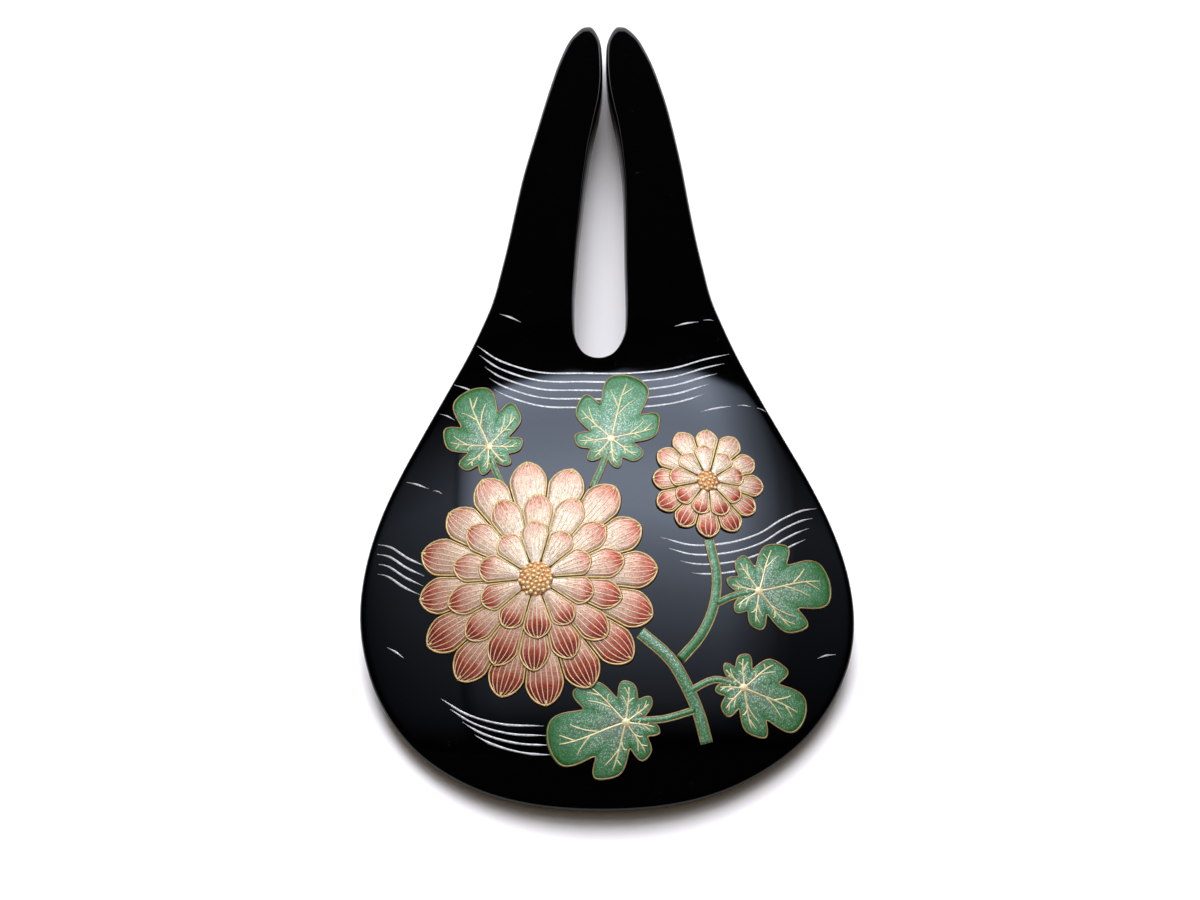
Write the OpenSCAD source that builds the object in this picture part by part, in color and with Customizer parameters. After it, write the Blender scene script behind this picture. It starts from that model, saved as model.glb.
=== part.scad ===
// A two-pronged lacquered hairpin, lying on its hollow side.
// +Y runs from the broad blade to the prong tips, +Z is up, and the origin is
// under the middle of the whole pin, on the surface that it lies on.

/* [Pin] */
// Length from the blade's end to the prong tips
length = 128; // [110:1:140]
// Width of the blade at its broadest
blade_w = 64; // [56:1:72]
// Thickness at the middle of the pin
thickness = 5.0; // [4.6:0.1:6]
// How much thinner the blade is at its sides
side_thinning = 2.2; // [1.5:0.1:2.4]
// How much thinner the pin is at its two ends
end_thinning = 1.4; // [0.8:0.1:1.6]
// Width of the rounding along every edge
rim = 1.3; // [1:0.1:2]
// How full that rounding is: 2 is an oval, and more gives flatter sides and tighter corners
rim_fullness = 4; // [2:0.25:5]
// Length of the rounded end of a prong
tip_len = 7; // [5:0.5:8]

/* [Bowing] */
// Radius of the bow along the pin, at half its thickness
bow_r = 157; // [130:1:220]
// Radius of the crown across the pin, at half its thickness
crown_r = 94; // [80:1:130]
// Where the bow is highest, along the pin
bow_top_y = -1.2; // [-3:0.1:3]

/* [Raised picture] */
// Thickness of one layer of raised lacquer
layer_t = 0.18; // [0.15:0.01:0.25]
// Clear space under and between the layers
layer_gap = 0.05; // [0.05:0.01:0.1]
// Clear space between two petals of one ring
petal_gap = 0.16; // [0.12:0.02:0.3]
// Radius of the large flower
flower_r = 15.5; // [13:0.5:16]
// Radius of the small flower
small_flower_r = 7.4; // [6:0.2:8]
// Reach of a leaf from its heart to its tip, which each leaf's own factor scales
leaf_reach = 10.5; // [7:0.5:10.5]
// Width of the main stem
stem_w = 1.5; // [1:0.1:2]

/* [Smoothness] */
// Steps between two ribs of the pin's table
rib_steps = 2; // [1:1:3]
// Steps round the rounding of an edge
rim_steps = 4; // [3:1:6]
// Steps across the pin between its roundings
flat_steps = 6; // [4:1:8]

/* [Hidden] */

// The size at which the tables are written
table_length = 128;
table_blade_w = 64;
scale_x = blade_w / table_blade_w;
scale_y = length / table_length;

// Ribs across the right half, from the prong's tip to the middle of the blade's end: x and y on the
// slot's side, x and y on the outline, and how far the hand-made pin leans to the right on either
RIBS = [
    [1.1, 63.5, 3.65, 63.5, 0, 0.05],
    [0.62, 60.0, 4.95, 60.0, 0, 0.08],
    [0.34, 56.5, 5.9, 56.5, 0, 0.1],
    [0.25, 51.5, 7.07, 51.5, 0.03, 0.18],
    [0.38, 46.2, 8.06, 46.2, 0.12, 0.22],
    [0.85, 41.3, 8.91, 41.3, 0.18, 0.23],
    [1.5, 36.6, 9.64, 36.6, 0.18, 0.17],
    [2.04, 32.2, 10.32, 32.2, 0.1, 0.07],
    [2.4, 28.0, 10.97, 28.0, 0.05, -0.04],
    [2.7, 24.0, 11.52, 24.0, -0.04, -0.15],
    [2.97, 18.2, 12.25, 18.2, -0.21, -0.23],
    [3.2, 12.8, 13.0, 12.8, -0.42, -0.25],
    [3.36, 8.0, 13.82, 8.0, -0.54, -0.26],
    [3.48, 4.5, 14.52, 4.3, -0.6, -0.27],
    [3.5, 1.5, 15.5, 1.0, -0.61, -0.25],
    [3.38, -1.6, 17.82, -4.9, -0.63, -0.28],
    [3.08, -3.2, 20.75, -10.8, -0.69, -0.36],
    [2.65, -4.35, 23.8, -16.4, -0.73, -0.32],
    [2.2, -5.15, 26.79, -21.8, -0.76, -0.2],
    [1.75, -5.68, 29.4, -27.2, -0.77, -0.02],
    [1.35, -5.97, 31.27, -32.9, -0.77, 0.19],
    [1.05, -6.12, 32.0, -38.7, -0.77, 0.33],
    [0.78, -6.23, 31.3, -44.3, -0.77, 0.38],
    [0.57, -6.29, 29.15, -49.75, -0.77, 0.2],
    [0.42, -6.32, 25.65, -54.75, -0.77, 0.0],
    [0.29, -6.33, 21.05, -58.75, -0.77, -0.22],
    [0.18, -6.34, 15.0, -62.0, -0.77, -0.3],
    [0.08, -6.35, 8.0, -63.9, -0.77, -0.25],
    [0, -6.35, 0, -64.5, -0.77, -0.2]];
last_rib = len(RIBS) - 1;
// Where along the pin the prongs end, as the table has it
tip_y = RIBS[0][1] * scale_y;
// The number of table rows that the rounded tip takes
tip_rows = 2;
tip_steps = 5;

// Where the flowers, leaves and stems lie on the blade
flower_at = [-8.5, -37];
small_flower_at = [13, -24];
// Rings of petals, from the outside in: inner and outer radius as parts of the flower's,
// number of petals, and direction of the first one
PETAL_RINGS = [[0.36, 1.0, 16, 5], [0.2, 0.74, 14, 12], [0.1, 0.48, 10, 20]];
SMALL_PETAL_RINGS = [[0.3, 1.0, 12, 0], [0.15, 0.66, 9, 15]];
// Radius of the centre, as a part of the flower's, and its height
centre_part = 0.14;
centre_h = 0.5;
small_centre_part = 0.19;
small_centre_h = 0.35;
// Lengths of the petals of a ring, over and over
petal_lengths = [0.97, 0.92, 0.99, 0.94, 1];
// Where along a petal it is widest, how wide it is at its root as a part of that, and how
// full its round end is
petal_belly = 0.68;
petal_root = 0.4;
petal_fullness = 0.6;
petal_rows = 4;
// Oval round a leaf, as parts of its reach: half its length, half its width, and how far
// its middle lies ahead of the heart, where the veins meet
leaf_half_length = 0.72;
leaf_half_width = 0.58;
leaf_ahead = 0.28;
// Notches between a leaf's lobes: direction from its tip's, depth as a part, and width
NOTCHES = [[31, 0.36, 8], [-31, 0.36, 8], [84, 0.44, 10], [-84, 0.44, 10],
           [134, 0.3, 10], [-134, 0.3, 10], [180, 0.45, 16]];
leaf_steps = 44;
// Route of each stem, in round numbers on the blade
stem_main_route = [[4.4, -43.6], [8, -46.6], [10, -49.6], [11.6, -53], [12.6, -56.4]];
stem_branch_route = [[13.1, -31.6], [14, -36], [13.6, -40], [12, -43.6], [9.4, -46.7]];

// Curve through the rows of a table
function curve(a, b, c, d, t) =
    0.5 * (2 * b + (c - a) * t + (2 * a - 5 * b + 4 * c - d) * t * t
           + (3 * b - a - 3 * c + d) * t * t * t);

// A row of the table, and the rows past its two ends that guide the curve
function across(row) = [-row[0], row[1], -row[2], row[3], row[4], row[5]];
function table_row(i) =
    i < 0 ? 2 * RIBS[0] - RIBS[1]
    : i > last_rib ? across(RIBS[2 * last_rib - i])
    : RIBS[i];
// A rib of the right half, or with hand -1 of the left one as a mirror shows it
function rib_at(u, hand) =
    let(i = min(floor(u), last_rib - 1), t = u - i,
        row = curve(table_row(i - 1), table_row(i), table_row(i + 1), table_row(i + 2), t))
    [(row[0] + hand * row[4]) * scale_x, row[1] * scale_y,
     (row[2] + hand * row[5]) * scale_x, row[3] * scale_y];

// The surface at half the thickness: an arc across the pin, turned round an axis below it
function side_cos(x) = sqrt(1 - pow(x / crown_r, 2));
function turn_r(x) = bow_r - crown_r + crown_r * side_cos(x);
function turn_z(x, y) = sqrt(pow(turn_r(x), 2) - pow(y - bow_top_y, 2));
function half_t(x, y) =
    0.5 * (thickness - side_thinning * pow(2 * x / blade_w, 2)
           - end_thinning * pow(2 * y / length, 2));
function normal(x, y) =
    [x / crown_r,
     side_cos(x) * (y - bow_top_y) / turn_r(x),
     side_cos(x) * turn_z(x, y) / turn_r(x)];
// A point of the pin above (or below) half its thickness, before it is set down
function off_middle(x, y, up) = [x, y, turn_z(x, y)] + up * normal(x, y);

function unit(v) = v / norm(v);
// Sine of the angle between a rib and the edge that it meets, at its first or last point
function skew(u, hand, k) =
    let(step = 0.05, r = rib_at(u, hand),
        r0 = rib_at(max(u - step, 0), hand), r1 = rib_at(min(u + step, last_rib), hand),
        edge = unit([r1[k] - r0[k], r1[k + 1] - r0[k + 1]]),
        rib = unit([r[2] - r[0], r[3] - r[1]]))
    max(0.5, abs(edge[0] * rib[1] - edge[1] * rib[0]));

// A step round an edge's rounding: how far in it lies, and its part of the thickness there
function rim_point(k) =
    [1 - pow(cos(90 * k / rim_steps), 2 / rim_fullness),
     pow(sin(90 * k / rim_steps), 2 / rim_fullness)];
// The stations across a rib, from the slot's side to the outline: how far along it they lie,
// and their part of the thickness there
function stations(w, rim_in, rim_out) = concat(
    [for (k = [0 : rim_steps]) [rim_in * rim_point(k)[0] / w, rim_point(k)[1]]],
    [for (k = [1 : flat_steps - 1]) [(rim_in + (w - rim_in - rim_out) * k / flat_steps) / w, 1]],
    [for (k = [rim_steps : -1 : 0]) [1 - rim_out * rim_point(k)[0] / w, rim_point(k)[1]]]);

// One closed ring of points round a rib, over it and back under it
function ring(u, hand) =
    let(r = rib_at(u, hand), a = [r[0], r[1]], b = [r[2], r[3]],
        from_tip = tip_y - (a[1] + b[1]) / 2,
        tip = from_tip < tip_len ? sqrt(1 - pow(1 - from_tip / tip_len, 2)) : 1,
        tip_t = from_tip < 2 * rim ? sqrt(1 - pow(1 - from_tip / (2 * rim), 2)) : 1,
        mid = (a + b) / 2, p = mid + (a - mid) * tip, q = mid + (b - mid) * tip,
        w = norm(q - p),
        half_w = 0.4999 * w,
        over = stations(w, min(rim / skew(u, hand, 0), half_w), min(rim / skew(u, hand, 2), half_w)),
        n = len(over),
        place = function(f, side)
            let(xy = p + (q - p) * f[0])
            off_middle(xy[0], xy[1], side * f[1] * tip_t * half_t(xy[0], xy[1])))
    concat([for (f = over) place(f, 1)], [for (k = [n - 2 : -1 : 1]) place(over[k], -1)]);

ring_stations = concat(
    [for (k = [1 : tip_steps]) tip_rows * (1 - cos(90 * k / tip_steps))],
    [for (k = [tip_rows * rib_steps + 1 : last_rib * rib_steps]) k / rib_steps]);
function mirrored(p) = [-p[0], p[1], p[2]];
rings = concat(
    [for (u = ring_stations) ring(u, 1)],
    [for (k = [len(ring_stations) - 2 : -1 : 0]) [for (p = ring(ring_stations[k], -1)) mirrored(p)]]);
ring_size = len(rings[0]);
function tip_point(hand) =
    let(row = rib_at(0, hand)) off_middle((row[0] + row[2]) / 2, tip_y, 0);
body_points = concat([for (r = rings) each r], [tip_point(1), mirrored(tip_point(-1))]);

// Sets the pin down on the surface, with its length centred
low_z = min([for (p = body_points) p[2]]);
low_y = min([for (p = body_points) p[1]]);
high_y = max([for (p = body_points) p[1]]);
set_down = [0, -(low_y + high_y) / 2, -low_z];

// A point of the raised picture: x and y on the pin, and its height above the lacquer
function on_top(p, up) = off_middle(p[0], p[1], half_t(p[0], p[1]) + up);

module body() {
    n = ring_size;
    count = len(rings);
    color("#0b0b0d")
    translate(set_down)
    polyhedron(
        points = body_points,
        faces = concat(
            [for (i = [0 : count - 2]) for (k = [0 : n - 1])
                let(a = i * n + k, b = i * n + (k + 1) % n) each [[a, b + n, a + n], [a, b, b + n]]],
            [for (k = [0 : n - 1]) [count * n, (k + 1) % n, k]],
            [for (k = [0 : n - 1])
                [count * n + 1, (count - 1) * n + k, (count - 1) * n + (k + 1) % n]]));
}

// A thin closed solid between an upper and a lower grid of points
module slab(upper, lower) {
    rows = len(upper);
    cols = len(upper[0]);
    low = rows * cols;
    grid = [for (i = [0 : rows - 2]) for (j = [0 : cols - 2]) [i * cols + j, i * cols + j + 1,
        (i + 1) * cols + j + 1, (i + 1) * cols + j]];
    border = concat(
        [for (j = [0 : cols - 2]) j],
        [for (i = [0 : rows - 2]) i * cols + cols - 1],
        [for (j = [cols - 1 : -1 : 1]) (rows - 1) * cols + j],
        [for (i = [rows - 1 : -1 : 1]) i * cols]);
    m = len(border);
    polyhedron(
        points = concat([for (r = upper) each r], [for (r = lower) each r]),
        faces = concat(
            [for (f = grid) each [[f[0], f[1], f[2]], [f[0], f[2], f[3]]]],
            [for (f = grid) each [[low + f[0], low + f[2], low + f[1]],
                                  [low + f[0], low + f[3], low + f[2]]]],
            [for (k = [0 : m - 1])
                let(a = border[k], b = border[(k + 1) % m])
                each [[a, low + a, low + b], [a, low + b, b]]]));
}

// Height of the bottom of a layer above the lacquer, counted from 0
function layer_z(layer) = layer_gap + layer * (layer_t + layer_gap);

// Half the width of a petal at v, from 0 at its root to 1 at its tip
function petal_half(v, r, count, broad) =
    let(swell = petal_root + (1 - petal_root) * sin(90 * min(v / petal_belly, 1)),
        past = max(v - petal_belly, 0) / (1 - petal_belly))
    min(broad * swell * pow(1 - past * past, petal_fullness), r * tan(180 / count) - petal_gap / 2);

module petal(at, angle, r0, r1, count, layer) {
    broad = (r0 + petal_belly * (r1 - r0)) * tan(180 / count);
    function place(v, side) =
        let(r = r0 + v * (r1 - r0), w = max(petal_half(v, r, count, broad), petal_gap / 2))
        at + [r * cos(angle) - side * w * sin(angle), r * sin(angle) + side * w * cos(angle)];
    function grid(height) = [for (i = [0 : petal_rows]) [for (side = [-1, 0, 1])
        on_top(place(i / petal_rows, side), height(side))]];
    z = layer_z(layer);
    slab(grid(function(side) z + layer_t * (side == 0 ? 1 : 0.6)), grid(function(side) z));
}

module petal_ring(at, radius, row, layer) {
    translate(set_down)
    for (k = [0 : row[2] - 1])
        petal(at, row[3] + 360 * k / row[2], radius * row[0],
              radius * (row[0] + (row[1] - row[0]) * petal_lengths[k % len(petal_lengths)]),
              row[2], layer);
}

module flower_petals_outer() {
    color("#c98a86") petal_ring(flower_at, flower_r, PETAL_RINGS[0], 1);
}

module flower_petals_middle() {
    color("#dbaf9d") petal_ring(flower_at, flower_r, PETAL_RINGS[1], 2);
}

module flower_petals_inner() {
    color("#ead2b4") petal_ring(flower_at, flower_r, PETAL_RINGS[2], 3);
}

module small_flower_petals_outer() {
    color("#c98a86") petal_ring(small_flower_at, small_flower_r, SMALL_PETAL_RINGS[0], 1);
}

module small_flower_petals_inner() {
    color("#ead2b4") petal_ring(small_flower_at, small_flower_r, SMALL_PETAL_RINGS[1], 2);
}

// A low dome that stands square to the lacquer
module dome(at, radius, height, layer) {
    n = normal(at[0], at[1]);
    ball_r = (radius * radius + height * height) / (2 * height);
    translate(set_down + on_top(at, layer_z(layer)))
    rotate([-asin(n[1]), asin(n[0]), 0])
    rotate_extrude($fn = 36)
    intersection() {
        translate([0, height - ball_r]) circle(r = ball_r, $fn = 180);
        square([radius, height]);
    }
}

module flower_centre() {
    color("#d9a441") dome(flower_at, flower_r * centre_part, centre_h, 4);
}

module small_flower_centre() {
    color("#d9a441")
    dome(small_flower_at, small_flower_r * small_centre_part, small_centre_h, 3);
}

// Distance from a leaf's heart to the oval round it, and to its notched edge
function oval(angle) =
    let(a = pow(cos(angle) / leaf_half_length, 2) + pow(sin(angle) / leaf_half_width, 2),
        b = leaf_ahead * cos(angle) / pow(leaf_half_length, 2),
        c = pow(leaf_ahead / leaf_half_length, 2) - 1)
    (b + sqrt(b * b - a * c)) / a;
function leaf_edge(angle) =
    oval(angle) * (1 - max([for (notch = NOTCHES)
        let(turn = abs(angle - notch[0]), off = min(turn, 360 - turn))
        notch[1] * exp(-pow(off / notch[2], 2))]));

// A leaf is two fans of points round its heart, one over the other, with a ring half way out
module leaf(heart, angle, size) {
    z = layer_z(0);
    n = leaf_steps;
    function place(a, part) =
        heart + leaf_reach * size * leaf_edge(a) * part * [cos(angle + a), sin(angle + a)];
    function circuit(part, up) =
        [for (k = [0 : n - 1]) on_top(place(360 * k / n - 180, part), up)];
    color("#4f8a55")
    translate(set_down)
    polyhedron(
        points = concat([on_top(heart, z + layer_t), on_top(heart, z)],
            circuit(0.5, z + layer_t), circuit(1, z + layer_t * 0.5), circuit(1, z), circuit(0.5, z)),
        faces = concat(
            [for (k = [0 : n - 1]) let(a = 2 + k, b = 2 + (k + 1) % n) each [[0, b, a],
                [1, a + 3 * n, b + 3 * n]]],
            [for (k = [0 : n - 1]) for (i = [0 : 2])
                let(a = 2 + i * n + k, b = 2 + i * n + (k + 1) % n)
                each [[a, b, b + n], [a, b + n, a + n]]]));
}

module leaf_top_left() {
    leaf([-14.8, -19], 108, 0.85);
}

module leaf_top_middle() {
    leaf([0.8, -18.6], 74, 0.9);
}

module leaf_right() {
    leaf([19.4, -37.6], 14, 0.93);
}

module leaf_low_right() {
    leaf([17.3, -49.6], -20, 0.8);
}

module leaf_low_left() {
    leaf([2.6, -54.3], 195, 0.95);
}

// A stem with a ridge along it, through the points of its route
module stem(route, w) {
    n = len(route) - 1;
    function side_of(i) =
        let(d = unit(route[min(i + 1, n)] - route[max(i - 1, 0)])) [-d[1], d[0]];
    function grid(height) = [for (i = [0 : n]) [for (side = [-1, 0, 1])
        on_top(route[i] + side * side_of(i) * w / 2, height(side))]];
    z = layer_z(0);
    color("#4f8a55")
    translate(set_down)
    slab(grid(function(side) z + layer_t * (side == 0 ? 1 : 0.5)), grid(function(side) z));
}

module stem_main() {
    stem(stem_main_route, stem_w);
}

module stem_branch() {
    stem(stem_branch_route, stem_w * 0.8);
}

body();
flower_petals_outer();
flower_petals_middle();
flower_petals_inner();
flower_centre();
small_flower_petals_outer();
small_flower_petals_inner();
small_flower_centre();
leaf_top_left();
leaf_top_middle();
leaf_right();
leaf_low_right();
leaf_low_left();
stem_main();
stem_branch();
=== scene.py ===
import math
import random

import bpy
import numpy as np
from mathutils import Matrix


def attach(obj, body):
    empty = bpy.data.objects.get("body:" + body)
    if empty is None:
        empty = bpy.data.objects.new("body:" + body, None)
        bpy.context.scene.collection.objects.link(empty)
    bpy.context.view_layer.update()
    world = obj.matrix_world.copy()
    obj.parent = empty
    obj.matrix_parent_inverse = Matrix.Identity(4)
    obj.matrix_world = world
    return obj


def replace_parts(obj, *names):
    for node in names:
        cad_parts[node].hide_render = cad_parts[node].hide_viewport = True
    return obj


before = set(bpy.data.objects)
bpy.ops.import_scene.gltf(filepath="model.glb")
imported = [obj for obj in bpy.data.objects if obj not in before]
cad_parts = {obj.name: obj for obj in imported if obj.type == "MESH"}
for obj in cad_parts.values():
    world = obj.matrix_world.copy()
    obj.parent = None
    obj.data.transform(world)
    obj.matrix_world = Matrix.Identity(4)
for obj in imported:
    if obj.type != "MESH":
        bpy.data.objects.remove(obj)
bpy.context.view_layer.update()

# Looks of a two-pronged lacquered hairpin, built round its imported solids.
# Sizes and places are in millimetres, and mesh_object() turns them into metres. +Y runs from the
# blade to the prong tips. "up" is a height above the lacquer, square to it.

MM = 0.001
SEED = 11
# Keeps a division by a length from failing
TINY = 1e-9

# The pin's sizes, as its solid has them: length, the blade's width, thickness at the middle
LENGTH, BLADE_W, THICKNESS = 128.0, 64.0, 5.0
# What the thickness loses at the blade's sides, and at both ends
SIDE_THINNING, END_THINNING = 2.2, 1.4
# The rounded edge: its depth, and the power of its superellipse
RIM, RIM_FULLNESS = 1.3, 4
# Length over which a prong rounds off to its tip
TIP_LEN = 7.0
# The bow along the pin, the crown across it, and where the bow is highest
BOW_R, CROWN_R, BOW_TOP_Y = 157.0, 94.0, -1.2

# Ribs across the right half, from the prong's tip to the middle of the blade's end: x and y on the
# slot's side, x and y on the outline, and how far the hand-made pin leans to the right on either
RIBS = np.array([
    [1.1, 63.5, 3.65, 63.5, 0, 0.05],
    [0.62, 60.0, 4.95, 60.0, 0, 0.08],
    [0.34, 56.5, 5.9, 56.5, 0, 0.1],
    [0.25, 51.5, 7.07, 51.5, 0.03, 0.18],
    [0.38, 46.2, 8.06, 46.2, 0.12, 0.22],
    [0.85, 41.3, 8.91, 41.3, 0.18, 0.23],
    [1.5, 36.6, 9.64, 36.6, 0.18, 0.17],
    [2.04, 32.2, 10.32, 32.2, 0.1, 0.07],
    [2.4, 28.0, 10.97, 28.0, 0.05, -0.04],
    [2.7, 24.0, 11.52, 24.0, -0.04, -0.15],
    [2.97, 18.2, 12.25, 18.2, -0.21, -0.23],
    [3.2, 12.8, 13.0, 12.8, -0.42, -0.25],
    [3.36, 8.0, 13.82, 8.0, -0.54, -0.26],
    [3.48, 4.5, 14.52, 4.3, -0.6, -0.27],
    [3.5, 1.5, 15.5, 1.0, -0.61, -0.25],
    [3.38, -1.6, 17.82, -4.9, -0.63, -0.28],
    [3.08, -3.2, 20.75, -10.8, -0.69, -0.36],
    [2.65, -4.35, 23.8, -16.4, -0.73, -0.32],
    [2.2, -5.15, 26.79, -21.8, -0.76, -0.2],
    [1.75, -5.68, 29.4, -27.2, -0.77, -0.02],
    [1.35, -5.97, 31.27, -32.9, -0.77, 0.19],
    [1.05, -6.12, 32.0, -38.7, -0.77, 0.33],
    [0.78, -6.23, 31.3, -44.3, -0.77, 0.38],
    [0.57, -6.29, 29.15, -49.75, -0.77, 0.2],
    [0.42, -6.32, 25.65, -54.75, -0.77, 0.0],
    [0.29, -6.33, 21.05, -58.75, -0.77, -0.22],
    [0.18, -6.34, 15.0, -62.0, -0.77, -0.3],
    [0.08, -6.35, 8.0, -63.9, -0.77, -0.25],
    [0, -6.35, 0, -64.5, -0.77, -0.2]])
LAST_RIB = len(RIBS) - 1
TIP_Y = RIBS[0][1]
# A prong's tip has rings of its own, down to this row of the table
TIP_ROWS = 2
# Steps of the solid's mesh, and of the smoother one that is shown: rings to a tip and to a row of
# the table, steps over a rounded edge and between two of them
CAD_STEPS = dict(tip=5, rib=2, rim=4, flat=6)
FINE_STEPS = dict(tip=14, rib=6, rim=12, flat=26)
# Step that an edge's slant is measured over, in rows, its least sine, and the most of a rib that
# one rounded edge takes
SKEW_STEP, LEAST_SKEW, MOST_RIM = 0.05, 0.5, 0.4999

# The raised picture, as its solids have it: a layer's thickness, the gap under it, and the gap
# between two petals
LAYER_T, LAYER_GAP, PETAL_GAP = 0.18, 0.05, 0.16
# Rings of petals: inner and outer radius as parts of the flower's, number, first direction
RINGS = {"outer": (0.36, 1.0, 16, 5), "middle": (0.2, 0.74, 14, 12), "inner": (0.1, 0.48, 10, 20)}
SMALL_RINGS = {"outer": (0.3, 1.0, 12, 0), "inner": (0.15, 0.66, 9, 15)}
# Flowers: place, radius, rings, veins to a petal of each ring, and the head of seeds: its radius
# as a part of the flower's, its height, number of seeds and their radius
FLOWERS = {
    "flower": dict(at=(-8.5, -37.0), radius=15.5, rings=RINGS, vein_counts=(6, 5, 5),
                   centre=0.14, rise=0.5, seeds=44, seed_r=0.26),
    "small_flower": dict(at=(13.0, -24.0), radius=7.4, rings=SMALL_RINGS, vein_counts=(4, 3),
                         centre=0.19, rise=0.35, seeds=21, seed_r=0.22)}
# Petals: lengths in turn as parts of the ring's, where they are broadest, the root's breadth as a
# part of that, and the power that rounds the tip
PETAL_LENGTHS = (0.97, 0.92, 0.99, 0.94, 1.0)
PETAL_BELLY, PETAL_ROOT, PETAL_FULLNESS = 0.68, 0.4, 0.6
# Leaves: reach, and as parts of it the oval that they are cut from: half length, half width and
# how far it lies ahead of the heart
LEAF_REACH = 10.5
LEAF_HALF_LENGTH, LEAF_HALF_WIDTH, LEAF_AHEAD = 0.72, 0.58, 0.28
# Notches between a leaf's lobes: direction from its tip's, depth as a part, and width
NOTCHES = [(31, 0.36, 8), (-31, 0.36, 8), (84, 0.44, 10), (-84, 0.44, 10),
           (134, 0.3, 10), (-134, 0.3, 10), (180, 0.45, 16)]
# Each leaf: heart, where its veins meet, direction of its tip, and size
LEAVES = {
    "leaf_top_left": ((-14.8, -19.0), 108, 0.85),
    "leaf_top_middle": ((0.8, -18.6), 74, 0.9),
    "leaf_right": ((19.4, -37.6), 14, 0.93),
    "leaf_low_right": ((17.3, -49.6), -20, 0.8),
    "leaf_low_left": ((2.6, -54.3), 195, 0.95)}
# Each stem: its width and its route
STEMS = {
    "stem_main": (1.5, [(4.4, -43.6), (8, -46.6), (10, -49.6), (11.6, -53), (12.6, -56.4)]),
    "stem_branch": (1.2, [(13.1, -31.6), (14, -36), (13.6, -40), (12, -43.6), (9.4, -46.7)])}


def curve(a, b, c, d, t):
    """A smooth curve from b to c, guided by a and d."""
    return 0.5 * (2 * b + (c - a) * t + (2 * a - 5 * b + 4 * c - d) * t * t
                  + (3 * b - a - 3 * c + d) * t ** 3)


def table_row(i):
    """A row of the ribs' table, or one past its ends that guides the curve."""
    if i < 0:
        return 2 * RIBS[0] - RIBS[1]
    if i > LAST_RIB:
        return RIBS[2 * LAST_RIB - i] * (-1, 1, -1, 1, 1, 1)
    return RIBS[i]


def rib_at(u, hand):
    """A rib of the right half, or with hand -1 of the left one as a mirror shows it."""
    i = min(int(u), LAST_RIB - 1)
    row = curve(table_row(i - 1), table_row(i), table_row(i + 1), table_row(i + 2), u - i)
    return row[:4] + hand * np.array([row[4], 0, row[5], 0])


def half_thickness(x, y):
    """Half the pin's thickness at a place in plan."""
    thinning = SIDE_THINNING * (2 * x / BLADE_W) ** 2 + END_THINNING * (2 * y / LENGTH) ** 2
    return 0.5 * (THICKNESS - thinning)


def alike(a, b):
    """Two numbers or arrays, as arrays of one shape."""
    return np.broadcast_arrays(np.asarray(a, float), np.asarray(b, float))


def middle_and_normal(x, y):
    """Points at half the pin's thickness, before it is set down, and the directions square to it."""
    x, y = alike(x, y)
    side_cos = np.sqrt(1 - (x / CROWN_R) ** 2)
    turn_r = BOW_R - CROWN_R + CROWN_R * side_cos
    turn_z = np.sqrt(turn_r ** 2 - (y - BOW_TOP_Y) ** 2)
    normal = (x / CROWN_R, side_cos * (y - BOW_TOP_Y) / turn_r, side_cos * turn_z / turn_r)
    return np.stack([x, y, turn_z], -1), np.stack(normal, -1)


def off_middle(x, y, up):
    """Points at a height over the middle of the thickness, before the pin is set down."""
    middle, normal = middle_and_normal(x, y)
    return middle + np.asarray(up, float)[..., None] * normal


def skew(u, hand, k):
    """Sine of the angle between a rib and the edge that it meets, whose x is the row's item k."""
    row = rib_at(u, hand)
    before, after = rib_at(max(u - SKEW_STEP, 0), hand), rib_at(min(u + SKEW_STEP, LAST_RIB), hand)
    edge = after[k:k + 2] - before[k:k + 2]
    rib = row[2:] - row[:2]
    cross = abs(edge[0] * rib[1] - edge[1] * rib[0])
    return max(LEAST_SKEW, cross / math.hypot(*edge) / math.hypot(*rib))


def rounding(run, reach):
    """Height of a quarter circle, as a part, at a run from its start."""
    return math.sqrt(1 - (1 - run / reach) ** 2) if run < reach else 1


def body_rings(steps, hand):
    """Closed rings of points round one prong and half of the blade, before setting down."""
    turn = np.radians(90 * np.arange(steps["rim"] + 1) / steps["rim"])
    rim_in_part = 1 - np.maximum(np.cos(turn), 0) ** (2 / RIM_FULLNESS)
    rim_height = np.sin(turn) ** (2 / RIM_FULLNESS)
    flat = np.arange(1, steps["flat"]) / steps["flat"]
    tips = [TIP_ROWS * (1 - math.cos(math.radians(90 * k / steps["tip"])))
            for k in range(1, steps["tip"] + 1)]
    rest = [k / steps["rib"] for k in range(TIP_ROWS * steps["rib"] + 1, LAST_RIB * steps["rib"] + 1)]
    rings = []
    for u in tips + rest:
        row = rib_at(u, hand)
        a, b = row[:2], row[2:]
        from_tip = TIP_Y - (a[1] + b[1]) / 2
        mid = (a + b) / 2
        tip = rounding(from_tip, TIP_LEN)
        p, q = mid + (a - mid) * tip, mid + (b - mid) * tip
        width = math.hypot(*(q - p))
        most = MOST_RIM * width
        rim_in, rim_out = min(RIM / skew(u, hand, 0), most), min(RIM / skew(u, hand, 2), most)
        along = np.concatenate([rim_in * rim_in_part, rim_in + (width - rim_in - rim_out) * flat,
                                (width - rim_out * rim_in_part)[::-1]]) / width
        part = np.concatenate([rim_height, np.ones(len(flat)), rim_height[::-1]])
        x, y = (p + np.outer(along, q - p)).T
        height = part * rounding(from_tip, 2 * RIM) * half_thickness(x, y)
        over, under = off_middle(x, y, height), off_middle(x, y, -height)
        rings.append(np.concatenate([over, under[-2:0:-1]]))
    return np.array(rings)


def all_rings(steps):
    """The rings of both halves, from the right prong's tip round to the left one's."""
    return np.concatenate([body_rings(steps, 1), body_rings(steps, -1)[-2::-1] * (-1, 1, 1)])


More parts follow.
